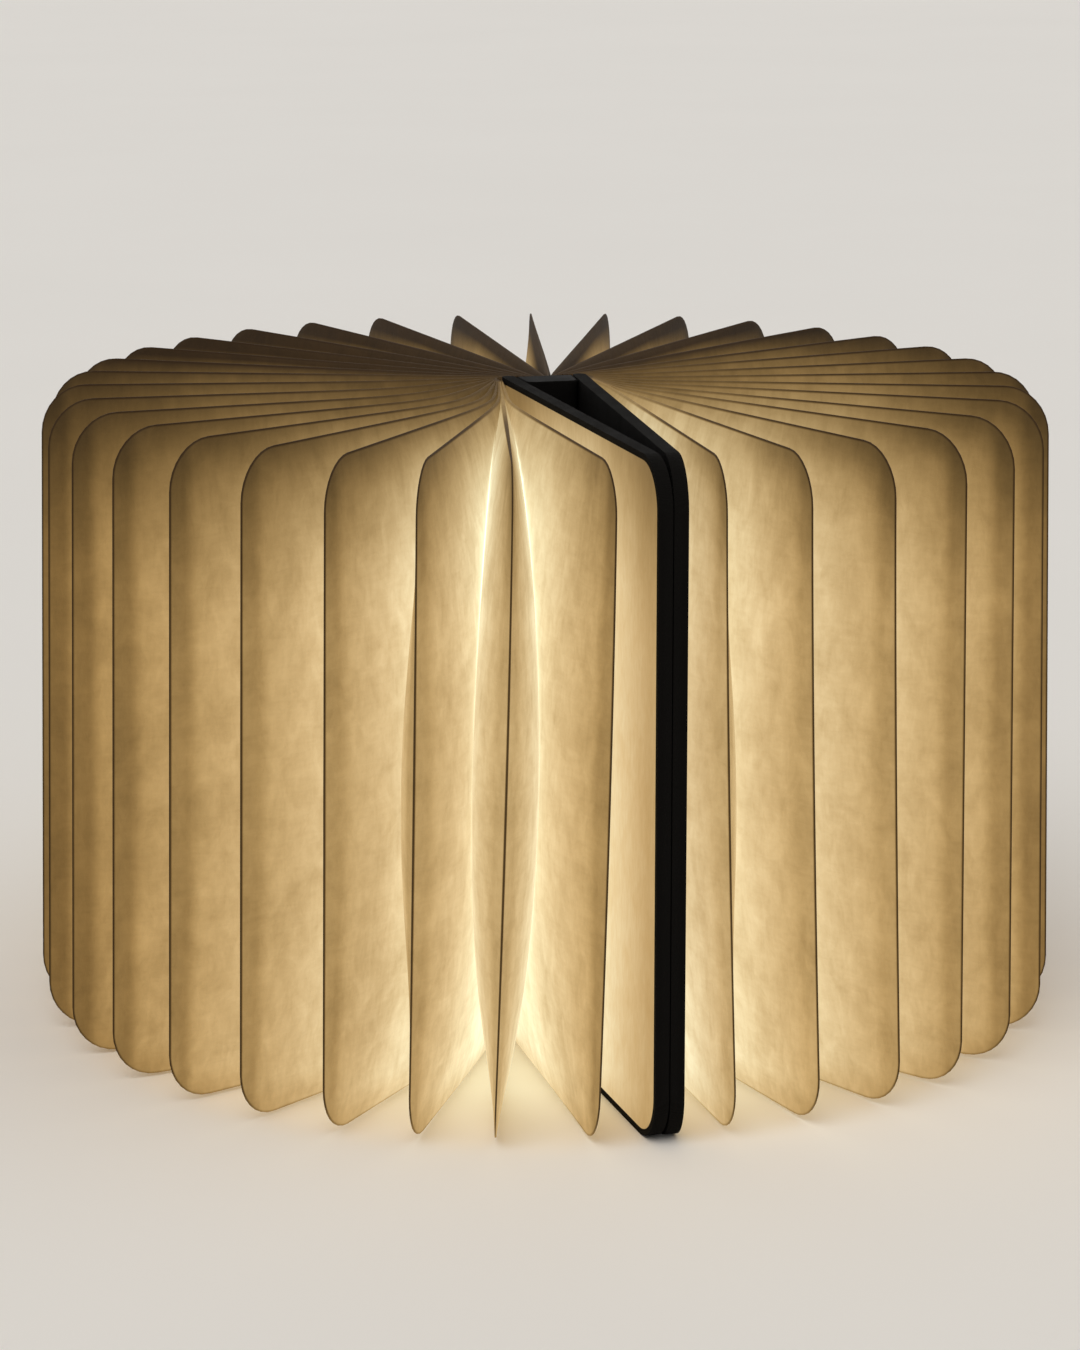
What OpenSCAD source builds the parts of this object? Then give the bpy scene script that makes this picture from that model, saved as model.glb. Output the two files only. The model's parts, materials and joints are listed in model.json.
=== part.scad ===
// Folding book lamp, standing on end and opened all the way round.
// The hinge lines run along Z, the opened covers point to -Y and the light faces +Y.

/* [Covers] */
// Height of the covers
cover_h = 215; // [190:1:260]
// Reach of a cover from its hinge line to its free edge
cover_reach = 171; // [110:1:210]
// Distance of each hinge line from the middle of the spine
hinge_x = 12.2; // [12:0.1:16]
// Thickness of the stiff board
board_t = 3.6; // [3:0.1:3.8]
// Thickness of the cloth round the board
cloth_t = 0.5; // [0.3:0.05:0.7]
// Thickness of the cloth joint at the hinge line
joint_t = 0.4; // [0.2:0.05:0.5]
// Width that the cloth joint is glued to the outside of the cover
joint_w = 14; // [11:0.5:18]
// Width of the cloth joint that shows inside the cover
joint_show = 1.5; // [1:0.1:4]
// Thickness of the cream leaf inside each cover
liner_t = 0.4; // [0.2:0.05:0.5]
// Distance of the cream leaf from the edges of the cover, where the cloth is turned in
liner_inset = 2.2; // [1:0.1:6]
// Radius of the outer corners
corner_r = 16; // [8:1:24]
// Gap between the covers where they meet back to back
cover_gap = 0.3; // [0.1:0.1:1]

/* [Magnets] */
// Diameter of the magnets that hold the covers together
magnet_d = 10; // [6:0.5:14]
// Thickness of the magnets
magnet_t = 1.8; // [1:0.1:2.4]
// Number of magnets in each cover
magnet_count = 3; // [2:1:5]
// Distance of the magnets from the free edge
magnet_inset = 12; // [10:1:30]
// Diameter of the magnet that works the opening sensor
trigger_d = 5; // [3:0.5:6]
// Distance of this magnet from the hinge line
trigger_y = 7; // [5:0.5:8]

/* [Pages] */
// Number of double-leaf pages
page_count = 34; // [20:2:40]
// Clearance between closed pages
page_gap = 0.08; // [0.05:0.01:0.12]
// Thickness of one leaf
leaf_t = 0.18; // [0.1:0.01:0.18]
// Distance that the pages stay back from the free edge of the covers
page_inset = 0.8; // [0:0.1:5]
// Height of the pages' lower edge above the surface
page_lift = 1; // [0.5:0.1:4]
// Distance of the pages' inner edge from the hinge lines
page_root = 1; // [0.9:0.1:3]
// Width of the creased strip at the outer fold
fold_w = 1.2; // [0.6:0.1:3]
// Turn by which the middle pages lean to the left cover
fan_lean = 4.5; // [0:0.5:5]

/* [Spine] */
// Depth of the spine behind the hinge lines
spine_d = 13; // [12.5:0.5:18]
// Radius of the spine's back edges
spine_r = 3; // [1.5:0.5:4]
// Wall of the spine housing
wall_t = 1.4; // [1:0.1:1.6]
// Thickness of the two end caps
cap_t = 3; // [2.5:0.1:4]
// Length that an end cap plugs into the housing
plug_l = 2; // [1:0.5:4]
// Clearance between parts that move past each other
run_gap = 0.3; // [0.2:0.05:0.4]
// Clearance round parts that fit into each other
fit_gap = 0.15; // [0.1:0.05:0.2]

/* [Light] */
// Width of the metal strip that carries the light chips
strip_w = 12; // [9:0.5:13]
// Thickness of this strip
strip_t = 1.2; // [0.8:0.1:1.4]
// Number of light chips
chip_count = 24; // [8:1:30]
// Side of a light chip
chip_w = 3; // [2:0.1:4]
// Height of a light chip
chip_t = 0.7; // [0.4:0.1:0.9]
// Room between the chips and the opal lens
chip_room = 0.6; // [0.3:0.1:0.8]
// Wall of the lens over the chips
lens_t = 1; // [0.8:0.1:1.2]
// Height of the lens's crown beyond the hinge lines
lens_rise = 0.6; // [0.2:0.1:0.7]
// Thickness of the ledges that carry the strip
ledge_t = 1.2; // [0.8:0.1:1.4]

/* [Power] */
// Length of a flat battery cell
cell_l = 62; // [40:1:64]
// Width of a battery cell
cell_w = 13; // [10:0.5:13]
// Thickness of a battery cell
cell_t = 5.4; // [4:0.1:5.4]
// Number of battery cells
cell_count = 2; // [1:1:2]
// Radius of a cell's edges
cell_r = 1; // [0.5:0.1:2]
// Room for the leads between the control board, the cells and each other
cell_gap = 5; // [3:0.5:6]
// Diameter of a lead wire
lead_d = 0.8; // [0.6:0.1:0.8]
// Distance between the two wires of a lead
lead_pitch = 5; // [2:0.5:6]
// Length of the control board
pcb_l = 38; // [36:1:42]
// Width of the control board
pcb_w = 13; // [12.5:0.1:13.4]
// Thickness of the control board
pcb_t = 1; // [0.8:0.1:1.2]
// Height of the rails that carry the control board
rail_t = 1; // [0.6:0.1:1.2]
// Width of the charging port
port_w = 8.9; // [8.5:0.1:9]
// Height of the charging port
port_h = 3.2; // [3:0.1:3.3]
// Length of the charging port
port_l = 7.3; // [6:0.1:9]
// Depth of the port's mouth inside the cap
port_sink = 0.8; // [0.4:0.1:1.5]
// Wall of the port's metal shell
port_wall = 0.3; // [0.2:0.05:0.4]
// Width of the port's contact tongue
tongue_w = 6.7; // [5:0.1:7]
// Thickness of the contact tongue
tongue_t = 0.7; // [0.5:0.1:0.9]
// Depth of the tongue's tip inside the port
tongue_sink = 1; // [0.5:0.1:1.5]
// Width, height and length of the charging chip
charger = [5, 1, 5]; // [0.5:0.1:6]
// Width, height and length of the coil
coil = [4, 2, 4]; // [0.5:0.1:6]
// Width, height and length of the light driver
driver = [4, 1, 5]; // [0.5:0.1:6]
// Width, height and length of the opening sensor
sensor = [3, 1.2, 4]; // [0.5:0.1:6]
// Distance between the port, the chips and the leads along the board
chip_gap = 2; // [1:0.1:2.5]
// Distance of the opening sensor from the side of the board
sensor_inset = 0.4; // [0:0.1:0.5]
// Diameter of the charging light
pipe_d = 1.6; // [1.2:0.1:1.6]

/* [Hidden] */
function page_name(i) = str("page_", i < 10 ? "0" : "", i);
SIDES = ["left", "right"];
$fn = 48;
past = 1; // how far a cutting shape runs past the solid that it cuts

// A cover's half thickness on each side of its hinge line
board_half = board_t / 2;
lined_side = board_half + max(liner_t, joint_t);
cloth_side = board_half + cloth_t;
// The covers turn past parallel until their cloth sides meet at the free edge
past_parallel = asin((hinge_x - cloth_side - cover_gap / 2) / cover_reach);
open_angle = 180 + past_parallel;

// The pages share the space between the closed covers
page_zone = 2 * (hinge_x - lined_side - fit_gap);
page_pitch = page_zone / page_count;
page_t = page_pitch - page_gap;
page_reach = cover_reach - page_inset;
// Distance of a page's middle from its own hinge line, and its turn in the opened fan
function page_offset(i) = hinge_x - abs(page_pitch * (i - 0.5) - page_zone / 2);
function page_turn(i) =
    open_angle * (1 - (2 * i - 1) / page_count) + fan_lean * sin(180 * (i - 0.5) / page_count);
function page_side(i) = i <= page_count / 2 ? "left" : "right";

// The spine narrows backwards, in line with the opened covers
spine_front = -run_gap;
function flank_x(y) = hinge_x - cloth_side - run_gap + y * tan(past_parallel);
cavity_back = -spine_d + cloth_t + wall_t;
cavity_half = flank_x(-spine_d) - cloth_t - wall_t;
housing_h = cover_h - 2 * cap_t;

// From front to back in the housing: lens, chips, strip, ledges
lens_back = spine_front - lens_t;
lens_half = cavity_half - fit_gap;
strip_front = lens_back - chip_room - chip_t;
strip_back = strip_front - strip_t;
strip_z = cap_t + plug_l + fit_gap;
strip_l = cover_h - 2 * strip_z;
ledge_front = strip_back - fit_gap;
ledge_half = strip_w / 2 - ledge_t;

// The control board stands at the lower end on two rails, and the cells stand above it
pcb_back = cavity_back + rail_t + fit_gap;
pcb_front = pcb_back + pcb_t;
pcb_z = cap_t + fit_gap;
rail_half = pcb_w / 2 - rail_t;
port_y = pcb_front + port_h / 2;
pipe_x = cavity_half - fit_gap - pipe_d / 2;
pipe_y = pcb_front + fit_gap + pipe_d / 2;
cell_z = pcb_z + pcb_l + cell_gap;
lead_y = (pcb_back + pcb_front) / 2;
lead_z = pcb_z + pcb_l - chip_gap - lead_d / 2;

function side_sign(side) = side == "left" ? -1 : 1;

// Turns a part that is drawn closed on its hinge line into the opened lamp. There X is the
// distance from the hinge line towards the pages and Y runs to the free edge
module opened(side, turn)
    translate([side_sign(side) * hinge_x, 0, 0])
        mirror([side == "right" ? 1 : 0, 0, 0])
            rotate([0, 0, turn]) children();

// Stands a drawing of distance and height up as a sheet from one X to another
module sheet(x0, x1) translate([x0, 0, 0]) rotate([90, 0, 90]) linear_extrude(x1 - x0) children();

// A cover's outline at a distance inside its edges
module cover_outline(y0, inset) {
    r = corner_r - inset;
    y1 = cover_reach - inset;
    translate([y0, inset]) square([y1 - y0 - r, cover_h - 2 * inset]);
    translate([y0, corner_r]) square([y1 - y0, cover_h - 2 * corner_r]);
    for (z = [corner_r, cover_h - corner_r]) translate([y1 - r, z]) circle(r);
}

// A page's outline, its corners cut in short straight steps
module page_outline(steps = 7) {
    y = page_reach - corner_r;
    bottom = page_lift + corner_r;
    top = cover_h - page_lift - corner_r;
    turns = [for (k = [0:steps]) 90 * k / steps];
    polygon(concat(
        [[page_root, page_lift]],
        [for (a = turns) [y + corner_r * sin(a), bottom - corner_r * cos(a)]],
        [for (a = turns) [y + corner_r * cos(a), top + corner_r * sin(a)]],
        [[page_root, cover_h - page_lift]]));
}

// The spine's plan at a distance inside its outer faces, with round back edges
module spine_plan(inset, front = spine_front, steps = 6) {
    r = spine_r - inset;
    y = -spine_d + spine_r;
    x = flank_x(y) - spine_r;
    turns = [for (k = [0:steps]) 90 * k / steps];
    polygon(concat(
        [[flank_x(front) - inset, front]],
        [for (a = turns) [x + r * cos(a), y - r * sin(a)]],
        [for (a = turns) [-x - r * sin(a), y - r * cos(a)]],
        [[-flank_x(front) + inset, front]]));
}

// Places discs on the cloth side of the board
module magnet_places()
    for (k = [1:magnet_count])
        translate([-board_half, cover_reach - magnet_inset, cover_h * (k - 0.5) / magnet_count])
            rotate([0, 90, 0]) children();

module trigger_place()
    translate([-board_half, trigger_y, pcb_z + pcb_l / 2]) rotate([0, 90, 0]) children();

module magnet_pocket(d)
    translate([0, 0, -past]) cylinder(h = magnet_t + fit_gap + past, d = d + 2 * fit_gap);

// Stiff board with a half-round hinge edge and pockets for the magnets
module cover_board(side) color("#8a8379") opened(side, open_angle) difference() {
    union() {
        sheet(-board_half, board_half) cover_outline(0, cloth_t);
        translate([0, 0, cloth_t]) cylinder(h = cover_h - 2 * cloth_t, r = board_half);
    }
    magnet_places() magnet_pocket(magnet_d);
    if (side == "left") trigger_place() magnet_pocket(trigger_d);
}

// Cloth over the outside of the board, turned in round its free edges as far as the cream leaf
module cover_cloth(side) color("#141416") opened(side, open_angle) difference() {
    sheet(-cloth_side, board_half + liner_t) cover_outline(joint_w, 0);
    sheet(-board_half, board_half) cover_outline(joint_w - past, cloth_t);
    sheet(board_half - past, board_half + liner_t + past)
        cover_outline(joint_w - past, liner_inset - fit_gap);
}

// Cream leaf glued inside the cover
module cover_lining(side) color("#efe6cf") opened(side, open_angle)
    sheet(board_half, board_half + liner_t) cover_outline(joint_show + fit_gap, liner_inset);

// Cloth joint round the half-round hinge edge of the board, cut out inside for the cream leaf
module hinge_cloth(side) color("#1b1b1e") opened(side, open_angle) difference() {
    union() {
        cylinder(h = cover_h, r = board_half + joint_t);
        sheet(-board_half - joint_t, board_half + joint_t) square([joint_w, cover_h]);
    }
    translate([0, 0, cloth_t]) {
        cylinder(h = cover_h - 2 * cloth_t, r = board_half);
        sheet(-board_half, board_half) square([joint_w + past, cover_h - 2 * cloth_t]);
    }
    sheet(board_half - past, board_half + joint_t + past) translate([joint_show, liner_inset - fit_gap])
        square([joint_w, cover_h - 2 * (liner_inset - fit_gap)]);
}

// Discs sunk into the board behind the cloth
module cover_magnets(side) color("#b9bcc0") opened(side, open_angle)
    magnet_places() cylinder(h = magnet_t, d = magnet_d);

// Disc that tells the sensor whether the lamp is open
module trigger_magnet() color("#b9bcc0") opened("left", open_angle)
    trigger_place() cylinder(h = magnet_t, d = trigger_d);

// A sheet folded once at its outer edge and open towards the light
module page(i) color("#f3e6c4") opened(page_side(i), abs(page_turn(i))) difference() {
    x = page_offset(i);
    half = page_t / 2;
    sheet(x - half, x + half) page_outline();
    sheet(x - half + leaf_t, x + half - leaf_t) square([page_reach - fold_w, cover_h]);
}

// Channel that holds the light and the power parts, open towards the pages
module spine_housing() color("#18181a") translate([0, 0, cap_t]) {
    difference() {
        linear_extrude(housing_h) spine_plan(cloth_t);
        translate([-cavity_half, cavity_back, -past]) cube([2 * cavity_half, spine_d, cover_h]);
    }
    for (s = [-1, 1]) {
        // Ledge behind the light strip
        translate([s * (ledge_half + cavity_half + wall_t / 2) / 2, ledge_front - ledge_t / 2, housing_h / 2])
            cube([cavity_half + wall_t / 2 - ledge_half, ledge_t, housing_h], center = true);
        // Rail behind the control board
        translate([s * (rail_half + cavity_half + wall_t / 2) / 2, cavity_back + rail_t / 2 - wall_t / 4,
                   pcb_l / 2])
            cube([cavity_half + wall_t / 2 - rail_half, rail_t + wall_t / 2, pcb_l], center = true);
    }
}

// Cloth round the back and the flanks of the spine
module spine_cloth() color("#141416") linear_extrude(cover_h) difference() {
    spine_plan(0);
    spine_plan(cloth_t, spine_front + past);
}

// Cap with a bar that plugs into the mouth of the housing
module end_cap() {
    linear_extrude(cap_t) spine_plan(cloth_t);
    translate([-lens_half, strip_back, cap_t - past])
        cube([2 * lens_half, lens_back - fit_gap - strip_back, plug_l + past]);
}

module end_cap_top() color("#101012") translate([0, 0, cover_h]) mirror([0, 0, 1]) end_cap();

module port_outline(w, h) {
    square([w - h, h], center = true);
    for (s = [-1, 1]) translate([s * (w - h) / 2, 0]) circle(d = h);
}

module end_cap_bottom() color("#101012") difference() {
    end_cap();
    translate([0, port_y, -past]) linear_extrude(cap_t + 2 * past)
        port_outline(port_w + 2 * fit_gap, port_h + 2 * fit_gap);
    translate([pipe_x, pipe_y, -past]) cylinder(h = cap_t + 2 * past, d = pipe_d + fit_gap);
}

// Metal strip that carries the light chips and spreads their heat
module light_strip() color("#c9ccd0") translate([-strip_w / 2, strip_back, strip_z])
    cube([strip_w, strip_t, strip_l]);

module light_chips() color("#f4d98a")
    for (k = [1:chip_count])
        translate([-chip_w / 2, strip_front, strip_z + strip_l * (k - 0.5) / chip_count - chip_w / 2])
            cube([chip_w, chip_t, chip_w]);

// Opal lens that closes the housing's mouth, crowned towards the pages
module lens_strip() color("#fbf4e2") translate([0, 0, cap_t]) linear_extrude(housing_h) {
    crown = spine_front + run_gap + lens_rise;
    rise = crown - spine_front;
    r = (lens_half * lens_half + rise * rise) / (2 * rise);
    translate([-lens_half, lens_back]) square([2 * lens_half, lens_t]);
    intersection() {
        translate([0, crown - r]) circle(r, $fn = 360);
        translate([-lens_half, lens_back]) square([2 * lens_half, lens_t + 2 * rise]);
    }
}

module battery_cells() color("#3f6fa8")
    for (k = [0:cell_count - 1])
        translate([0, cavity_back + fit_gap + cell_t / 2, cell_z + k * (cell_l + cell_gap)])
            linear_extrude(cell_l) {
                square([cell_w, cell_t - 2 * cell_r], center = true);
                square([cell_w - 2 * cell_r, cell_t], center = true);
                for (sx = [-1, 1]) for (sy = [-1, 1])
                    translate([sx * (cell_w / 2 - cell_r), sy * (cell_t / 2 - cell_r)]) circle(cell_r);
            }

module control_board() color("#1f5a3a") translate([-pcb_w / 2, pcb_back, pcb_z])
    cube([pcb_w, pcb_t, pcb_l]);

// Charging chip, coil, light driver and the sensor that feels the trigger magnet
module board_chips() color("#202124") {
    row = [charger, coil, driver];
    first_z = pcb_z + port_l + chip_gap;
    for (k = [0:len(row) - 1]) {
        below = [for (j = [0:1:k - 1]) row[j][2] + chip_gap];
        translate([-row[k][0] / 2, pcb_front, first_z + total(below)]) cube(row[k]);
    }
    translate([-pcb_w / 2 + sensor_inset, pcb_front, pcb_z + pcb_l / 2 - sensor[2] / 2]) cube(sensor);
}

function total(list) = len(list) == 0 ? 0 : list * [for (item = list) 1];

// Pairs of wires from the control board to the cells, between the cells, and to the light strip
module lead_wires() color("#a83228") for (s = [-1, 1]) translate([s * lead_pitch / 2, 0, 0]) {
    for (k = [0:cell_count - 1])
        translate([0, lead_y, cell_z - cell_gap + k * (cell_l + cell_gap)])
            cylinder(h = cell_gap, d = lead_d);
    translate([0, pcb_front, lead_z]) rotate([-90, 0, 0]) cylinder(h = strip_back - pcb_front, d = lead_d);
}

// Metal shell with a contact tongue
module charging_port() color("#c4c7cb") translate([0, port_y, port_sink]) {
    difference() {
        linear_extrude(port_l) port_outline(port_w, port_h);
        translate([0, 0, -past]) linear_extrude(port_l - port_wall + past)
            port_outline(port_w - 2 * port_wall, port_h - 2 * port_wall);
    }
    translate([-tongue_w / 2, -tongue_t / 2, tongue_sink])
        cube([tongue_w, tongue_t, port_l - tongue_sink - port_wall / 2]);
}

module charging_light() color("#e8f2e6") translate([pipe_x, pipe_y, port_sink / 2])
    cylinder(h = cap_t + plug_l, d = pipe_d);

spine_housing();
spine_cloth();
end_cap_top();
end_cap_bottom();
light_strip();
light_chips();
lens_strip();
battery_cells();
control_board();
board_chips();
charging_port();
charging_light();
lead_wires();
trigger_magnet();
for (side = SIDES) {
    cover_board(side);
    cover_cloth(side);
    cover_lining(side);
    hinge_cloth(side);
    cover_magnets(side);
}
for (i = [1:page_count])
    page(i);
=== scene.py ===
"""Looks of the folding book lamp: puffed paper pages, book cloth, and a plain studio."""

import json
import math

import bmesh
import bpy
import numpy as np
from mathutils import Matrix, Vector


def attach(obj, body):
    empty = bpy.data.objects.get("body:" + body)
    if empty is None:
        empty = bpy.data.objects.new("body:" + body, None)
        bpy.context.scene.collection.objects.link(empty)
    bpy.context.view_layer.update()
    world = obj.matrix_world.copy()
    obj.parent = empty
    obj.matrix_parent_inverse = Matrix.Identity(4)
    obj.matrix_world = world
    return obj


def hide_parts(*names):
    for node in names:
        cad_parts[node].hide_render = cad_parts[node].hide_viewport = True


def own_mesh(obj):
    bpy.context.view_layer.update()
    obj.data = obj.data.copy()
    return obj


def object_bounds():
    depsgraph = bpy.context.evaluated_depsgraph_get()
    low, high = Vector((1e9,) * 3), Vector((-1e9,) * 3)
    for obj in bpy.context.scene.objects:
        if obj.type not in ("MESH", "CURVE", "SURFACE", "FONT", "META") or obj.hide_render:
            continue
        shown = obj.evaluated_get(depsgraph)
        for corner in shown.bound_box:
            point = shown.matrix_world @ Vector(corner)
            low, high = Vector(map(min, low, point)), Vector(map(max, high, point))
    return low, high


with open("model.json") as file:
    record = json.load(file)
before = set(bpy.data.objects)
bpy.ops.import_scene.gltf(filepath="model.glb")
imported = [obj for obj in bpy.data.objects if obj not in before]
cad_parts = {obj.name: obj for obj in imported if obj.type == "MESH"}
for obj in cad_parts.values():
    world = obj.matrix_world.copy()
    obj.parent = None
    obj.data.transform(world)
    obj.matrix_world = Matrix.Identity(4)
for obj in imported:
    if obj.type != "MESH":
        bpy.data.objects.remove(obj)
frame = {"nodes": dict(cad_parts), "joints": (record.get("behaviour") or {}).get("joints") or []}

cad_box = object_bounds()
MM = 0.001

# ---------------------------------------------------------------- camera, in mm and degrees
CAMERA_DISTANCE = 1400.0   # from the lamp's axis, measured level
CAMERA_HEIGHT = 431.5
CAMERA_TURN = -13.06       # seen from in front, a little to the left
CAMERA_PITCH = 12.86       # looking down
CAMERA_ASIDE = 1.4         # the lamp's axis stands this far right of the middle
IMAGE_H = 1350             # height of the picture in pixels
FOCAL_PIXELS = 4209.0      # focal length in the same pixels
SENSOR = 36.0
CLIP_M = (0.05, 50)        # nearest and farthest that the camera sees, in metres


def make_camera():
    data = bpy.data.cameras.new("camera")
    data.sensor_width = SENSOR
    data.lens = FOCAL_PIXELS / IMAGE_H * SENSOR
    data.clip_start, data.clip_end = CLIP_M
    camera = bpy.data.objects.new("camera", data)
    bpy.context.scene.collection.objects.link(camera)
    turn, pitch = math.radians(CAMERA_TURN), math.radians(CAMERA_PITCH)
    right = Vector((math.cos(turn), math.sin(turn), 0))
    ahead = Vector((-math.sin(turn), math.cos(turn), 0))
    place = -CAMERA_ASIDE * right - CAMERA_DISTANCE * ahead + Vector((0, 0, CAMERA_HEIGHT))
    camera.location = place * MM
    look = ahead * math.cos(pitch) - Vector((0, 0, math.sin(pitch)))
    camera.rotation_mode = "QUATERNION"
    camera.rotation_quaternion = look.to_track_quat("-Z", "Y")
    bpy.context.scene.camera = camera


# ---------------------------------------------------------------- node graphs
class Graph:
    """Builds one material's nodes. Inputs are given by name, as values or as other nodes' outputs."""

    def __init__(self, name):
        self.material = bpy.data.materials.new(name)
        self.material.use_nodes = True
        self.tree = self.material.node_tree
        self.shader = self.tree.nodes["Principled BSDF"]

    def node(self, kind, inputs=None, **settings):
        made = self.tree.nodes.new("ShaderNode" + kind)
        for key, value in settings.items():
            setattr(made, key, value)
        for key, value in (inputs or {}).items():
            self.set(made.inputs[key], value)
        return made

    def set(self, socket, value):
        if isinstance(value, bpy.types.NodeSocket):
            self.tree.links.new(value, socket)
        elif isinstance(value, tuple) and len(value) == 3 and socket.type == "RGBA":
            socket.default_value = (*value, 1)
        else:
            socket.default_value = value

    def shade(self, **inputs):
        for key, value in inputs.items():
            self.set(self.shader.inputs[key.replace("_", " ")], value)
        return self.material

    def math(self, operation, a, b=0.0, clamp=False):
        return self.node("Math", {0: a, 1: b}, operation=operation, use_clamp=clamp).outputs[0]

    def fade(self, value, start, end, low=0.0, high=1.0, kind="SMOOTHSTEP"):
        """Goes from low to high as value goes from start to end, and no further."""
        sockets = {"Value": value, "From Min": start, "From Max": end, "To Min": low, "To Max": high}
        return self.node("MapRange", sockets, interpolation_type=kind).outputs[0]

    def ramp(self, value, start, end, low, high):
        return self.fade(value, start, end, low, high, "LINEAR")

    def chain(self, operation, values):
        made = values[0]
        for value in values[1:]:
            made = self.math(operation, made, value)
        return made

    def product(self, *factors):
        return self.chain("MULTIPLY", factors)

    def total(self, *terms):
        return self.chain("ADD", terms)

    def decay(self, distance, length):
        """1 where distance is 0, falling off by e over each length."""
        return self.math("POWER", 1 / math.e, self.math("DIVIDE", distance, length))

    def mix(self, share, a, b, blend="MIX"):
        made = self.node("Mix", data_type="RGBA", blend_type=blend)
        for socket, value in zip((made.inputs[0], made.inputs[6], made.inputs[7]), (share, a, b)):
            self.set(socket, value)
        return made.outputs[2]

    def coordinates(self, scale=(1, 1, 1), rotation=(0, 0, 0)):
        source = self.node("TexCoord").outputs["Object"]
        turned = self.node("Mapping", {"Vector": source, "Rotation": rotation, "Scale": scale})
        return turned.outputs[0]

    def noise(self, vector, scale, detail=4, roughness=0.55, distortion=0.0):
        sockets = {"Vector": vector, "Scale": scale, "Detail": detail, "Roughness": roughness,
                   "Distortion": distortion}
        return self.node("TexNoise", sockets).outputs["Fac"]

    def wave(self, vector, scale, direction, distortion=0.0):
        sockets = {"Vector": vector, "Scale": scale, "Distortion": distortion}
        made = self.node("TexWave", sockets, wave_type="BANDS", bands_direction=direction)
        return made.outputs["Fac"]

    def attribute(self, name):
        return self.node("Attribute", attribute_name=name).outputs["Fac"]

    def bump(self, height, depth, strength=1.0):
        return self.node("Bump", {"Height": height, "Distance": depth, "Strength": strength}).outputs[0]


def book_cloth():
    """Black cloth with a fine plain weave and a slightly worn nap."""
    g = Graph("book_cloth")
    at = g.coordinates()
    threads = g.wave(at, 1100, "Z", 0.4)
    crossing = g.wave(at, 1100, "Y", 0.4)
    weave = g.product(threads, crossing)
    nap = g.noise(at, 90, 5)
    wear = g.noise(at, 900, 2)
    tone = g.mix(nap, (0.0024, 0.0021, 0.0018), (0.0055, 0.0049, 0.0043))
    tone = g.mix(g.product(weave, 0.35), tone, (0.011, 0.010, 0.009))
    height = g.total(weave, g.product(wear, 0.5))
    return g.shade(Base_Color=tone, Roughness=g.fade(nap, 0.2, 0.8, 0.75, 0.92),
                   Specular_IOR_Level=0.04, Normal=g.bump(height, 0.00012, 0.7))


def grey_board():
    """Pressed board with flecks of fibre."""
    g = Graph("grey_board")
    at = g.coordinates()
    flecks = g.noise(at, 1400, 6, 0.7)
    cloud = g.noise(at, 60, 3)
    tone = g.mix(g.fade(flecks, 0.35, 0.7), (0.22, 0.19, 0.16), (0.42, 0.38, 0.33))
    tone = g.mix(g.product(cloud, 0.4), tone, (0.30, 0.27, 0.24))
    return g.shade(Base_Color=tone, Roughness=0.92, Normal=g.bump(flecks, 0.0001, 0.6))


# The light from within, as it dims, the paper's own tones, and its darker tones at the top (painted
# shade) and at the edges (thicker folded paper and painted shade)
GLOW_DIM = (1.0, 0.60, 0.17)
GLOW_BRIGHT = (1.0, 1.0, 0.70)
GLOW_FULL = 0.8            # light from which the glow has its bright colour
PAPER = (0.262, 0.154, 0.046)
PAPER_TOP_SHADE = (0.050, 0.028, 0.010)
PAPER_EDGE_AND_SHADE = (0.036, 0.018, 0.005)
PAPER_CLOUD = (0.22, 0.125, 0.048)
LINING_LIGHT = 0.9         # the lining's share of the pages' light
LINING_TOP = 0.3           # and what is left of that at its top

# Light on a leaf from one share of its reach or height to another, and the light at those two
OUTWARD_LIGHT = (0.60, 0.95, 0.84, 0.29)
INNER_LIGHT = (0.12, 0.42, 0.4, 1.0)
ROOT_LIGHT = (0.014, 0.034, 0.04, 1.0)     # hardly any where the binding hides the leaf
FOOT_LIGHT = (0.0, 0.06, 0.75, 1.0)
BEAM_TOP = (0.985, 0.90)                   # the beams between pages end towards the top
TOP_START = (0.65, 1.0, 0.80, 0.69)        # height from which the light falls, by the reach
TOP_CURVE = 1.5


def lamplight(g, outward, height, top_share):
    """Light on a leaf, and what the top leaves of it: top_share at the upper edge."""
    inner = g.product(g.ramp(outward, *INNER_LIGHT), g.fade(outward, *ROOT_LIGHT))
    climb = g.ramp(height, g.ramp(outward, *TOP_START), 1.0, 0.0, 1.0)
    loss = g.product(g.math("POWER", climb, TOP_CURVE), g.math("SUBTRACT", 1.0, top_share))
    top = g.math("SUBTRACT", 1.0, loss, clamp=True)
    return g.product(g.ramp(outward, *OUTWARD_LIGHT), inner, top, g.fade(height, *FOOT_LIGHT)), top


def glow(g, light):
    """Shader inputs for a glow whose green is as bright as the light, and which reddens as it dims."""
    colour = g.mix(g.ramp(light, 0.0, GLOW_FULL, 0.0, 1.0), GLOW_DIM, GLOW_BRIGHT)
    green = g.ramp(light, 0.0, GLOW_FULL, GLOW_DIM[1], GLOW_BRIGHT[1])
    return {"Emission_Color": colour, "Emission_Strength": g.math("DIVIDE", light, green)}


def rounded_edge_gap(g, reach, height, page_reach, page_height):
    """Distance from a page's outline, with its round corners."""
    corner = CORNER_R * MM
    past_x = g.math("SUBTRACT", reach, page_reach - corner)
    from_middle = g.math("ABSOLUTE", g.math("SUBTRACT", height, page_height / 2))
    past_z = g.math("SUBTRACT", from_middle, page_height / 2 - corner)
    wide = g.math("MAXIMUM", past_x, 0.0)
    tall = g.math("MAXIMUM", past_z, 0.0)
    from_centre = g.math("SQRT", g.total(g.product(wide, wide), g.product(tall, tall)))
    inside = g.math("MINIMUM", g.math("MAXIMUM", past_x, past_z), 0.0)
    return g.math("SUBTRACT", g.math("SUBTRACT", corner, from_centre), inside)


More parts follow.
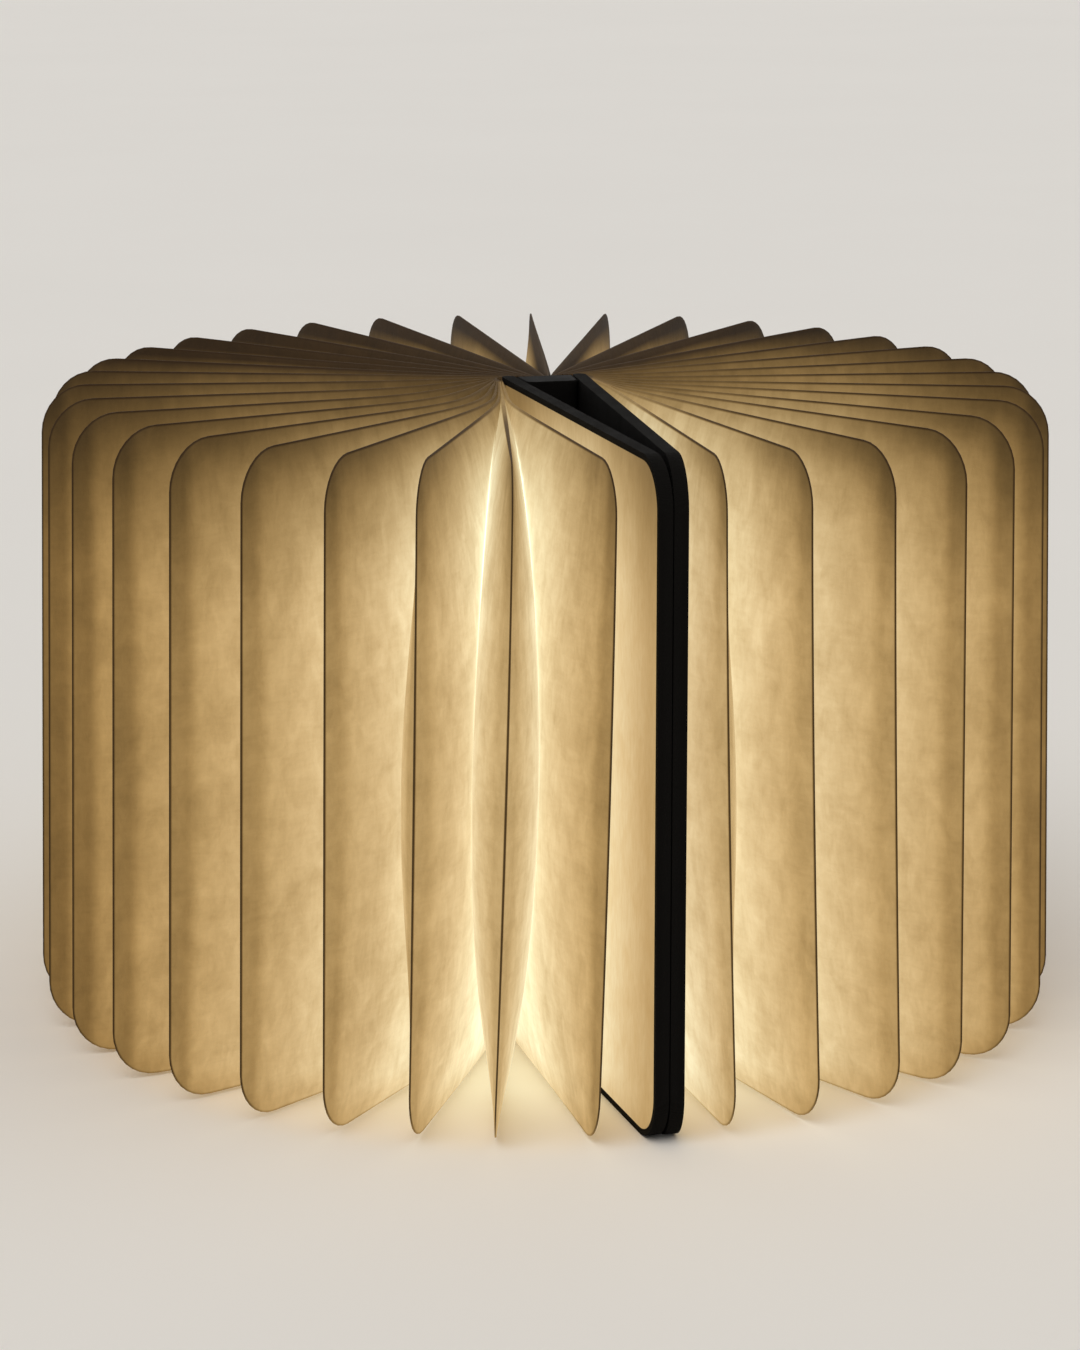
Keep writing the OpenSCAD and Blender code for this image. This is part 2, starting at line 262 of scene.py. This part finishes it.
# Layers of the fibre paper: marks per metre across and up, distortion, turn in radians, and
# shares of the mottling and of the relief
FIBRES = {
    "clouds": (30, 22, 0.8, 0.0, 0.34, 0.0),
    "blots": (125, 80, 0.5, 0.5, 0.36, 1.5),
    "strands": (430, 110, 0.7, 0.45, 0.14, 1.0),
    "crossing": (120, 480, 0.7, 0.35, 0.12, 1.0),
    "speckle": (1500, 1300, 1.0, 0.0, 0.04, 0.5),
}
MOTTLING = (0.36, 0.64, 0.76, 1.22)        # tones that the mottling makes darker and lighter
EDGE_LINE = (0.2, 0.9)                     # the brown edge line, partly the thicker folded paper and partly painted shade, ends between these distances, in mm
EDGE_LINE_DARK = 0.93                      # share of the light that it takes
EDGE_LINE_OUTWARD = (0.1, 0.6, 0.3, 1.0)   # it grows towards the fold, and fades at the foot
EDGE_LINE_FOOT = (0.0, 0.06, 0.45, 1.0)
CREASE = (4.5, 10.0)                       # the dim strip beside the fold ends between these
CREASE_SIDE = (0.45, 0.97, 0.41, 0.66)     # its light on the pages at the sides, by their own light
CREASE_FRONT = (0.97, 1.0, 0.0, 0.14)      # and what the front pages have on top
CREASE_PAINTED_SHADE = (0.5, 1.0, 0.7, 1.0)         # painted shade: the paper's base colour there, darker by that light
CORNER_UP = (0.78, 0.95, 0.0, 1.0)         # the dim upper corner, by height
CORNER_OUT = (0.55, 0.9, 0.0, 1.0)         # by reach
CORNER_DEPTH = 14.0                        # and by the distance from the edge, in mm
SOFT_BEAM, SOFT_REACH = 0.14, 8.0          # light beside the line where two pages touch, and how
HOT_BEAM, HOT_REACH = 1.0, 1.3             # far it reaches, in mm


def page_paper(page_reach, page_height):
    """Spun fibre paper lit from within: bright in the valleys, brown at the folds, where the glow dims
    and painted shade darkens the paper's colour.
    """
    g = Graph("page_paper")
    flat = g.node("UVMap", uv_map="page").outputs[0]
    mottle, relief = [], []
    for across, up, distortion, turn, mottle_share, relief_share in FIBRES.values():
        spot = g.node("Mapping", {"Vector": flat, "Rotation": (0, 0, turn), "Scale": (across, up, 1)})
        layer = g.noise(spot.outputs[0], 1.0, 5, 0.6, distortion)
        mottle.append(g.product(layer, mottle_share))
        relief.append(g.product(layer, relief_share))
    tone_shift = g.ramp(g.total(*mottle), *MOTTLING)

    outward = g.attribute("reach_share")
    height = g.attribute("height_share")
    lamp_share = g.attribute("lamp_share")
    gap = rounded_edge_gap(g, g.product(outward, page_reach), g.product(height, page_height),
                           page_reach, page_height)
    line = g.fade(gap, EDGE_LINE[0] * MM, EDGE_LINE[1] * MM, 1.0, 0.0)
    line = g.product(line, g.fade(outward, *EDGE_LINE_OUTWARD), g.fade(height, *EDGE_LINE_FOOT))
    from_fold = g.product(g.math("SUBTRACT", 1.0, outward), page_reach)
    crease_light = g.total(g.ramp(lamp_share, *CREASE_SIDE), g.ramp(lamp_share, *CREASE_FRONT))
    fold_shade = g.fade(from_fold, CREASE[0] * MM, CREASE[1] * MM, crease_light, 1.0)
    near_corner = g.product(g.ramp(height, *CORNER_UP), g.ramp(outward, *CORNER_OUT),
                            g.fade(gap, 0.0, CORNER_DEPTH * MM, 1.0, 0.0))
    corner = g.math("SUBTRACT", 1.0, g.product(near_corner, g.attribute("corner_loss")))

    light, top = lamplight(g, outward, height, g.attribute("top_share"))
    light = g.product(light, fold_shade, corner, lamp_share, tone_shift)
    valley = g.math("ABSOLUTE", g.attribute("past_touch"))
    soft = g.product(g.decay(valley, SOFT_REACH * MM), SOFT_BEAM)
    hot = g.product(g.decay(valley, HOT_REACH * MM), HOT_BEAM)
    beam = g.product(g.total(soft, hot), g.fade(height, *BEAM_TOP))
    clear = g.math("SUBTRACT", 1.0, g.product(line, EDGE_LINE_DARK))
    light = g.product(g.total(light, beam), clear)

    # Painted shade in the paper's base colour: darker in the strip beside the fold and in the upper
    # corners, times the fibres' own mottling
    shade = g.product(tone_shift, g.ramp(fold_shade, *CREASE_PAINTED_SHADE), corner)
    grey = g.node("CombineColor", {0: shade, 1: shade, 2: shade}).outputs[0]
    # Painted shade: the paper's base colour darkens towards the top, with the light
    paper = g.mix(top, PAPER_TOP_SHADE, PAPER)
    paper = g.mix(1.0, paper, grey, "MULTIPLY")
    # The edge line: partly the thicker folded paper and partly painted shade
    paper = g.mix(line, paper, PAPER_EDGE_AND_SHADE)
    return g.shade(Base_Color=paper, Roughness=0.8, Specular_IOR_Level=0.2,
                   Normal=g.bump(g.total(*relief), 0.00016, 0.6), **glow(g, light))


def cover_lining(cover_reach, cover_height):
    """Cream leaf inside a cover, warm with the light of the pages beside it."""
    g = Graph("cover_lining")
    split = g.node("SeparateXYZ", {0: g.node("TexCoord").outputs["Object"]})
    outward = g.math("DIVIDE", split.outputs[1], -cover_reach)
    height = g.math("DIVIDE", split.outputs[2], cover_height)
    fibres = g.noise(g.coordinates(scale=(500, 500, 140)), 1.0, 5, 0.6, 1.0)
    clouds = g.noise(g.coordinates(), 60, 4)
    tone_shift = g.product(g.fade(fibres, 0.3, 0.7, 0.92, 1.06), g.fade(clouds, 0.3, 0.7, 0.93, 1.06))
    light, top = lamplight(g, outward, height, LINING_TOP)
    light = g.product(light, tone_shift, LINING_LIGHT)
    # Painted shade: the lining's colour darkens towards its top, with the light
    tone = g.mix(top, PAPER_TOP_SHADE, PAPER)
    tone = g.mix(g.fade(clouds, 0.3, 0.7, 0.0, 0.3), tone, PAPER_CLOUD)
    return g.shade(Base_Color=tone, Roughness=0.8, Normal=g.bump(fibres, 0.0001, 0.4), **glow(g, light))


def moulded_plastic():
    """Black plastic with a fine spark-eroded grain."""
    g = Graph("moulded_plastic")
    at = g.coordinates()
    grain = g.noise(at, 2600, 3, 0.6)
    handling = g.noise(at, 70, 4)
    tone = g.mix(handling, (0.004, 0.004, 0.0042), (0.008, 0.0077, 0.0077))
    return g.shade(Base_Color=tone, Roughness=g.fade(handling, 0.25, 0.75, 0.6, 0.8),
                   Specular_IOR_Level=0.06, Normal=g.bump(grain, 0.00006, 0.6))


def metal(name, tone, roughness, brushed):
    """Metal with fine marks along Z, or all ways where it isn't brushed."""
    g = Graph(name)
    stretch = (4000, 4000, 120) if brushed else (900, 900, 900)
    marks = g.noise(g.coordinates(scale=stretch), 1.0, 4, 0.6)
    shade = tuple(0.82 * v for v in tone)
    return g.shade(Base_Color=g.mix(marks, shade, tone), Metallic=1.0,
                   Roughness=g.fade(marks, 0.2, 0.8, roughness * 0.8, roughness * 1.25),
                   Normal=g.bump(marks, 0.00003, 0.5))


def light_chip():
    """Yellow phosphor under clear resin."""
    g = Graph("light_chip")
    phosphor = g.noise(g.coordinates(), 1500, 3)
    tone = g.mix(phosphor, (0.85, 0.55, 0.12), (0.95, 0.72, 0.24))
    return g.shade(Base_Color=tone, Roughness=0.3, Coat_Weight=0.6, Coat_Roughness=0.1,
                   Emission_Color=(1.0, 0.82, 0.50),
                   Emission_Strength=g.fade(phosphor, 0.2, 0.8, 1.6, 2.2))


def opal_lens():
    """Milky lens with faint ribs along it, lit from behind."""
    g = Graph("opal_lens")
    at = g.coordinates()
    ribs = g.wave(at, 380, "X")
    haze = g.noise(at, 120, 3)
    return g.shade(Base_Color=g.mix(haze, (0.84, 0.78, 0.64), (0.92, 0.87, 0.74)), Roughness=0.35,
                   Normal=g.bump(ribs, 0.00005, 0.4), Emission_Color=(1.0, 0.84, 0.54),
                   Emission_Strength=g.fade(haze, 0.2, 0.8, 0.7, 0.95))


def battery_film():
    """Blue shrink film, creased along the cell."""
    g = Graph("battery_film")
    wrinkles = g.noise(g.coordinates(scale=(300, 300, 60)), 1.0, 4, 0.6, 1.0)
    tone = g.mix(wrinkles, (0.10, 0.22, 0.42), (0.16, 0.31, 0.54))
    film = g.noise(g.coordinates(), 700, 2)
    return g.shade(Base_Color=tone, Roughness=g.fade(film, 0.2, 0.8, 0.25, 0.4),
                   Normal=g.bump(wrinkles, 0.0002, 0.6))


def solder_mask():
    """Green varnish over the copper tracks of the control board."""
    g = Graph("solder_mask")
    face = g.coordinates(scale=(260, 260, 260), rotation=(math.pi / 2, 0, 0))
    tracks = g.node("TexBrick", {"Vector": face, "Scale": 1.0, "Mortar Size": 0.06,
                                 "Color1": (0.02, 0.13, 0.06, 1), "Color2": (0.03, 0.16, 0.08, 1),
                                 "Mortar": (0.05, 0.24, 0.12, 1)})
    haze = g.noise(g.coordinates(), 400, 3)
    return g.shade(Base_Color=tracks.outputs[0], Roughness=g.fade(haze, 0.2, 0.8, 0.28, 0.42),
                   Normal=g.bump(tracks.outputs[1], 0.00003, 0.5))


def moulded_chip():
    """Matt black resin of the packaged chips and the coil."""
    g = Graph("moulded_chip")
    grain = g.noise(g.coordinates(), 3000, 2)
    return g.shade(Base_Color=g.mix(grain, (0.018, 0.018, 0.020), (0.04, 0.04, 0.043)),
                   Roughness=0.55, Normal=g.bump(grain, 0.00003, 0.5))


def wire_sleeves():
    """Red insulation, a little uneven in tone and gloss."""
    g = Graph("wire_sleeves")
    haze = g.noise(g.coordinates(), 600, 3)
    return g.shade(Base_Color=g.mix(haze, (0.40, 0.022, 0.018), (0.52, 0.04, 0.03)),
                   Roughness=g.fade(haze, 0.2, 0.8, 0.35, 0.5), Normal=g.bump(haze, 0.00003, 0.4))


def light_pipe():
    """Clear rod that shows the charging light, faintly green."""
    g = Graph("light_pipe")
    haze = g.noise(g.coordinates(), 900, 3)
    return g.shade(Base_Color=g.mix(haze, (0.72, 0.80, 0.72), (0.86, 0.92, 0.86)), Roughness=0.25,
                   Emission_Color=(0.5, 1.0, 0.6),
                   Emission_Strength=g.fade(haze, 0.2, 0.8, 0.1, 0.16))


# ---------------------------------------------------------------- pages, in mm
# Where a value differs from side to side, -1 is the left and 1 the right. A pair of angles is the
# span over which an effect starts or ends, in degrees from the front.
LEAF = 0.25          # half a closed page's thickness
PRESSED = 0.9        # share of it that is left where a page has no room at all
TOUCH_GAP = 0.06     # clearance between pages that lean on each other
PUFF = 10.3          # half a page's thickness where it touches its neighbour at mid height
PUFF_ROUND = 0.65    # how full that stays towards the upper and the lower edge
BULGE = 1.6          # how far the leaf swells past the touching line before it runs to the fold
FREE_END = 12.0      # the last stretch before the fold, which always stands free
HUG = {-1: 46.0, 1: 18.0}          # how far the front pages run beside each other before they fan out
HUG_TURN = math.radians(15.6)      # angle between a cover and the direction in which they do so
HUG_SHARPNESS = 4.0                # how sharp the bend between the two is
FAN_SQUEEZE = 0.927  # width in X of the open pages, as a share of the solids', to match the photo's folds
FAN_FLARE = 0.03     # what that share gains from the top to the foot
LEAN = {-1: math.radians(0.9), 1: math.radians(1.6)}   # turn of the front pages towards their cover
LEAN_END = {-1: (2, 11), 1: (45, 60)}
SPLAY = 5.3          # how far the foot of the front pages stands off the covers
SPLAY_END = {-1: (12, 30), 1: (22, 36)}
SPLAY_CURVE = 1.5    # how fast that fades from the foot upwards
BUNCH = math.radians(1.1)          # further turn of the second and third page on the right
BUNCH_START, BUNCH_END = (3, 12), (22, 40)
LINING_GAP = 0.2     # distance of the first page's root from the lining
SIDE_DIM = 0.55      # light that the pages at the sides lack
BESIDE_OPENING = {"page_01": 0.88, "page_02": 1.2, "page_34": 1.22}    # light on the front pages
TOP_FRONT = 0.40                   # share of the light that is left at the top of the front pages
TOP_REST = {-1: 0.11, 1: 0.22}     # of those at the sides
TOP_BACK = -0.12                   # and at the back, where below 0 the dark band is deeper
TOP_END, TOP_BACK_START = (8, 30), (80, 150)
CORNER_LOSS = {-1: 0.22, 1: 0.44}  # share of the light that the upper corners lack
CORNER_R = 16.0
CORNER_STEPS = 9     # rows round each corner
ROWS = 26            # rows between the corners
COLUMNS = 30         # columns from the root to the fold, on each leaf
COLUMN_SPREAD = 0.8  # below 1 the columns lie closer together towards the fold
ROOM_STEPS = 120     # places along a page at which its room is measured
ROOT = 1.0           # distance of a page's root from its hinge line
NOSE = ((0.45, 0.8), (0.0, 0.0), (0.45, -0.8))   # the round fold's points, in halves of its thickness
SHARP_TURN = 50      # edges that turn by more degrees are shaded sharp
SHEET_OFFSET = (0.37, 0.11)        # distance in metres between the pages' places in the fibres


def node_points(name):
    mesh = frame["nodes"][name].data
    points = np.empty(len(mesh.vertices) * 3)
    mesh.vertices.foreach_get("co", points)
    return points.reshape(-1, 3) / MM


class Page:
    """Where a page lies: its hinge line, its turn, and the directions along it and across it."""

    def __init__(self, joint, cover_turn):
        self.name = joint["child"]
        self.joint = joint["name"]
        self.side = -1 if joint["pos_m"][0] < 0 else 1
        self.hinge = np.array([joint["pos_m"][0] / MM, 0.0])
        self.turn = math.radians(joint["range_deg"][1])
        self.swing = cover_turn - self.turn     # angle between the page and the cover on its side
        self.along = np.array([self.side * math.sin(self.turn), math.cos(self.turn)])
        self.across = np.array([-self.side * math.cos(self.turn), math.sin(self.turn)])
        points = node_points(self.name)
        plan = points[:, :2] - self.hinge
        self.offset = float(np.mean([np.min(plan @ self.across), np.max(plan @ self.across)]))
        self.reach = float(np.max(plan @ self.along))
        self.low, self.high = points[:, 2].min(), points[:, 2].max()
        from_front = math.pi - self.turn
        self.lean = LEAN[self.side] * step_down(from_front, LEAN_END[self.side])
        if self.side > 0:
            self.lean += BUNCH * step_up(from_front, BUNCH_START) * step_down(from_front, BUNCH_END)
        self.splay = SPLAY * step_down(from_front, SPLAY_END[self.side])
        sideways = math.sin(from_front) ** 4
        self.lamp_share = BESIDE_OPENING.get(self.name, 1.0) * (1 - SIDE_DIM * sideways)
        rest = TOP_REST[self.side]
        self.top_share = rest + (TOP_FRONT - rest) * step_down(from_front, TOP_END)
        self.top_share -= (rest - TOP_BACK) * step_up(from_front, TOP_BACK_START)

    def root_x(self):
        return self.hinge[0] + self.offset * self.across[0]

    def aside(self, r, rise):
        """Distance of the page's middle line from its plane, away from the cover, at r from the root."""
        foot = self.splay * (1 - rise) ** SPLAY_CURVE * (r / self.reach) ** 2
        return foot - self.lean * r - hug(self, r)

    def to_row(self, r, w, z):
        """Places in the lamp, in mm, of points given along the page, across it, and up."""
        rise = (z - self.low) / (self.high - self.low)
        plan = np.outer(r, self.along) + np.outer(w + self.offset, self.across)
        plan[:, 0] *= FAN_SQUEEZE + FAN_FLARE * (0.5 - rise)
        return np.column_stack([self.hinge + plan, z])


def step_up(angle, span):
    """Goes from 0 to 1 as an angle goes through a span, whose ends are in degrees."""
    t = min(1.0, max(0.0, (math.degrees(angle) - span[0]) / (span[1] - span[0])))
    return t * t * (3 - 2 * t)


def step_down(angle, span):
    """Goes from 1 to 0 in the same way."""
    return 1 - step_up(angle, span)


def hug(page, r):
    """How far a front page runs beside its cover at a distance r from the root."""
    angle = page.swing - HUG_TURN
    if angle >= math.pi / 2:
        return np.zeros_like(r)
    length = HUG[page.side]
    away = length * (page.reach - r) / (page.reach - length)
    sum_of_both = sum(np.maximum(way, 0.01) ** -HUG_SHARPNESS for way in (r, away))
    nearer = sum_of_both ** (-1 / HUG_SHARPNESS)
    return 0.5 * math.sin(2 * angle) * nearer


def room(page, neighbour, r, rise):
    """Half the distance between a page's middle line and its neighbour's."""
    own = page.aside(r, rise)
    if neighbour is None:                       # the cover's lining
        return np.maximum(LINING_GAP + r * math.sin(page.swing) + own, LEAF)
    other = neighbour.aside(r, rise)
    if page.side != neighbour.side:
        roots_apart = abs(page.root_x() - neighbour.root_x())
        full = roots_apart + r * (page.turn + neighbour.turn) - own - other
    else:
        pitch = abs(page.offset - neighbour.offset)
        apart = own - other if page.turn < neighbour.turn else other - own
        full = pitch + r * abs(page.turn - neighbour.turn) + apart
    return np.maximum(full / 2 - TOUCH_GAP, LEAF * PRESSED)


def outline_rows(page):
    """Heights of the mesh's rows and how far the page reaches at each of them."""
    turns = np.linspace(0, math.pi / 2, CORNER_STEPS)
    low = page.low + CORNER_R * (1 - np.cos(turns))
    inset = CORNER_R * (1 - np.sin(turns))
    middle = np.linspace(low[-1], page.high - CORNER_R, ROWS)[1:-1]
    heights = np.concatenate([low, middle, (page.low + page.high - low)[::-1]])
    insets = np.concatenate([inset, np.zeros(len(middle)), inset[::-1]])
    return heights, page.reach - insets


def leaf_section(half_room, r_room, puff, r_end, r):
    """Half thickness of a page at each r on one side, and where it leaves its neighbour."""
    touch = min(np.interp(puff, half_room, r_room), r_end - FREE_END)
    start = min(np.interp(touch, r_room, half_room), puff)
    t = np.clip((r - touch) / (r_end - touch), 0, 1)
    swollen = LEAF + (start - LEAF) * (1 - t) * (1 + BULGE * t)
    pressed = np.interp(r, r_room, half_room)
    return np.where(r < touch, np.minimum(pressed, start), swollen), touch


def page_rows(page, before, after):
    """Rings of points round the page from its foot to its top, and the values kept at each point."""
    r_room = np.linspace(ROOT, page.reach, ROOM_STEPS)
    middle_z = (page.low + page.high) / 2
    half_height = (page.high - page.low) / 2
    spread = np.linspace(0, 1, COLUMNS) ** COLUMN_SPREAD
    nose_inset, nose_half = LEAF * np.array(NOSE).T
    rows = {"points": [], "past_touch": [], "reach_share": [], "height_share": [], "flat": []}
    for z, end in zip(*outline_rows(page)):
        rise = (z - page.low) / (page.high - page.low)
        toward_cover = np.maximum.accumulate(room(page, before, r_room, rise))
        toward_middle = np.maximum.accumulate(room(page, after, r_room, rise))
        fullness = max(0.0, 1 - ((z - middle_z) / half_height) ** 2) ** PUFF_ROUND
        puff = PUFF * fullness + LEAF
        r = ROOT + (end - LEAF - ROOT) * spread
        middle = page.aside(r, rise)
        tip = page.aside(np.array([end]), rise)[0]
        plus, plus_touch = leaf_section(toward_middle, r_room, puff, end - LEAF, r)
        minus, minus_touch = leaf_section(toward_cover, r_room, puff, end - LEAF, r)
        along = np.concatenate([r, end - nose_inset, r[::-1]])
        aside = np.concatenate([middle + plus, tip + nose_half, (middle - minus)[::-1]])
        up = np.full(len(along), z)
        touch = np.concatenate([np.full(len(r) + 2, plus_touch), np.full(len(r) + 1, minus_touch)])
        rows["points"].append(page.to_row(along, aside, up))
        rows["past_touch"].append((along - touch) * MM)
        rows["reach_share"].append(along / page.reach)
        rows["height_share"].append(np.full(len(along), rise))
        rows["flat"].append(np.column_stack([along, up]))
    return rows


def page_faces(wide, tall):
    """Quads between the rings, and the closed foot and top of the page."""
    faces = []
    for k in range(tall - 1):
        for c in range(wide):
            d = (c + 1) % wide
            faces.append((k * wide + c, k * wide + d, (k + 1) * wide + d, (k + 1) * wide + c))
    for k, flip in ((0, True), (tall - 1, False)):
        first, last = k * wide, (k + 1) * wide - 1
        for c in range(wide // 2):
            face = [first + c, first + c + 1, last - c - 1, last - c]
            if face[1] == face[2]:
                del face[2]
            faces.append(tuple(face[::-1] if flip else face))
    return faces


def face_outwards(mesh):
    bm = bmesh.new()
    bm.from_mesh(mesh)
    bmesh.ops.recalc_face_normals(bm, faces=bm.faces)
    bm.to_mesh(mesh)
    bm.free()


def page_mesh(page, before, after):
    rows = page_rows(page, before, after)
    mesh = bpy.data.meshes.new(page.name + "_paper")
    points = [tuple(point * MM) for row in rows["points"] for point in row]
    mesh.from_pydata(points, [], page_faces(len(rows["points"][0]), len(rows["points"])))
    kept = {name: np.concatenate(rows[name]) for name in ("past_touch", "reach_share", "height_share")}
    kept["lamp_share"] = np.full(len(points), page.lamp_share)
    kept["top_share"] = np.full(len(points), page.top_share)
    kept["corner_loss"] = np.full(len(points), CORNER_LOSS[page.side])
    for name, values in kept.items():
        mesh.attributes.new(name, "FLOAT", "POINT").data.foreach_set("value", values.astype(np.float32))
    uv = mesh.uv_layers.new(name="page")
    corner_vertex = np.empty(len(mesh.loops), np.int32)
    mesh.loops.foreach_get("vertex_index", corner_vertex)
    number = int(page.name[-2:])
    uv_points = np.concatenate(rows["flat"]) * MM + number * np.array(SHEET_OFFSET)
    uv.data.foreach_set("uv", uv_points[corner_vertex].astype(np.float32).ravel())
    mesh.shade_smooth()
    mesh.set_sharp_from_angle(angle=math.radians(SHARP_TURN))
    return mesh


def make_pages():
    joints = [j for j in frame["joints"] if j["child"].startswith("page_")]
    opening = next(j for j in frame["joints"] if j["name"] == "opening")
    cover_turn = math.radians(opening["range_deg"][1])
    pages = [Page(j, cover_turn) for j in sorted(joints, key=lambda j: j["child"])]
    paper = page_paper(pages[0].reach * MM, (pages[0].high - pages[0].low) * MM)
    for k, page in enumerate(pages):
        previous = pages[k - 1] if k else None
        following = pages[k + 1] if k + 1 < len(pages) else None
        before, after = (previous, following) if page.side < 0 else (following, previous)
        mesh = page_mesh(page, before, after)
        face_outwards(mesh)
        mesh.materials.append(paper)
        made = bpy.data.objects.new(page.name + "_paper", mesh)
        bpy.context.scene.collection.objects.link(made)
        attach(made, page.name)
        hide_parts(page.name)
        anchor = page.to_row(np.array([0.0]), np.array([0.0]), np.array([0.0]))[0, :2]
        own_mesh(made)


# ---------------------------------------------------------------- CAD nodes' finish
BEVEL_TURN = 40      # edges that turn by more degrees are rounded


def dress(names, material, bevel=0.0):
    """Gives the nodes a material and, where a width in mm is given, slightly round edges."""
    for name in names:
        piece = frame["nodes"][name]
        piece.data.materials.clear()
        piece.data.materials.append(material)
        if bevel:
            weld = piece.modifiers.new("weld", "WELD")
            weld.merge_threshold = 1e-6
            edges = piece.modifiers.new("soft_edges", "BEVEL")
            edges.width = bevel * MM
            edges.segments = 2
            edges.limit_method = "ANGLE"
            edges.angle_limit = math.radians(BEVEL_TURN)


def dress_cad_nodes():
    cloth = book_cloth()
    nickel = metal("nickel", (0.66, 0.65, 0.62), 0.22, False)
    sides = ("left", "right")
    dress([f"cover_cloth_{s}" for s in sides] + ["spine_cloth"], cloth, bevel=0.3)
    dress([f"hinge_cloth_{s}" for s in sides], cloth)
    dress([f"cover_board_{s}" for s in sides], grey_board())
    dress([f"cover_lining_{s}" for s in sides], cover_lining(-cad_box[0][1], cad_box[1][2]))
    dress([f"cover_magnets_{s}" for s in sides] + ["trigger_magnet"], nickel)
    dress(["spine_housing", "end_cap_top", "end_cap_bottom"], moulded_plastic(), bevel=0.2)
    dress(["light_strip"], metal("rolled_strip", (0.80, 0.80, 0.81), 0.35, True))
    dress(["charging_port"], nickel)
    dress(["light_chips"], light_chip())
    dress(["lens_strip"], opal_lens())
    dress(["battery_cells"], battery_film())
    dress(["control_board"], solder_mask())
    dress(["board_chips"], moulded_chip())
    dress(["lead_wires"], wire_sleeves())
    dress(["charging_light"], light_pipe())


# ---------------------------------------------------------------- studio, in metres
FLOOR_HALF = 6.0
WARM_WHITE = (1.0, 0.97, 0.93)
SUNS = {   # direction, strength, spread in degrees
    "key": ((-0.9, -1.2, 2.0), 1.05, 50),
    "fill": ((1.6, -0.7, 1.1), 0.45, 70),
}
AMBIENT, AMBIENT_STRENGTH = (1.0, 0.98, 0.95, 1), 0.42
BACKDROP, BACKDROP_STRENGTH = (0.86, 0.845, 0.82, 1), 1.0


def make_floor():
    g = Graph("studio_floor")
    cloud = g.noise(g.coordinates(), 3, 3)
    g.shade(Base_Color=g.mix(cloud, (0.87, 0.855, 0.83), (0.90, 0.885, 0.86)), Roughness=0.85)
    mesh = bpy.data.meshes.new("floor")
    corners = [(x * FLOOR_HALF, y * FLOOR_HALF, 0) for x, y in ((-1, -1), (1, -1), (1, 1), (-1, 1))]
    mesh.from_pydata(corners, [], [(0, 1, 2, 3)])
    mesh.materials.append(g.material)
    floor = bpy.data.objects.new("floor", mesh)
    bpy.context.scene.collection.objects.link(floor)


def soft_sun(name, place, strength, spread):
    """Broad even light from the direction of a place, as from a large softbox far away."""
    data = bpy.data.lights.new(name, "SUN")
    data.energy = strength
    data.angle = math.radians(spread)
    data.color = WARM_WHITE
    lamp = bpy.data.objects.new(name, data)
    lamp.rotation_mode = "QUATERNION"
    lamp.rotation_quaternion = (-Vector(place)).to_track_quat("-Z", "Y")
    bpy.context.scene.collection.objects.link(lamp)


def make_studio():
    world = bpy.data.worlds.new("studio")
    bpy.context.scene.world = world
    world.use_nodes = True
    tree = world.node_tree
    tree.nodes.clear()

    def add(kind, **settings):
        made = tree.nodes.new("ShaderNode" + kind)
        for key, value in settings.items():
            setattr(made, key, value)
        return made

    ambient, backdrop = add("Background"), add("Background")
    ambient.inputs["Color"].default_value = AMBIENT
    ambient.inputs["Strength"].default_value = AMBIENT_STRENGTH
    backdrop.inputs["Color"].default_value = BACKDROP
    backdrop.inputs["Strength"].default_value = BACKDROP_STRENGTH
    # The backdrop is what the camera, a gloss or a clear piece shows, and the ambient light the rest
    path = add("LightPath")
    through = add("Math", operation="MAXIMUM")
    shown = add("Math", operation="MAXIMUM")
    mix = add("MixShader")
    out = add("OutputWorld")
    for source, target in ((path.outputs["Is Glossy Ray"], through.inputs[0]),
                           (path.outputs["Is Transmission Ray"], through.inputs[1]),
                           (path.outputs["Is Camera Ray"], shown.inputs[0]),
                           (through.outputs[0], shown.inputs[1]),
                           (shown.outputs[0], mix.inputs[0]),
                           (ambient.outputs[0], mix.inputs[1]),
                           (backdrop.outputs[0], mix.inputs[2]),
                           (mix.outputs[0], out.inputs[0])):
        tree.links.new(source, target)
    for name, (place, strength, spread) in SUNS.items():
        soft_sun(name, place, strength, spread)
    bpy.context.scene.view_settings.view_transform = "Standard"


make_camera()
make_studio()
make_floor()
dress_cad_nodes()
make_pages()
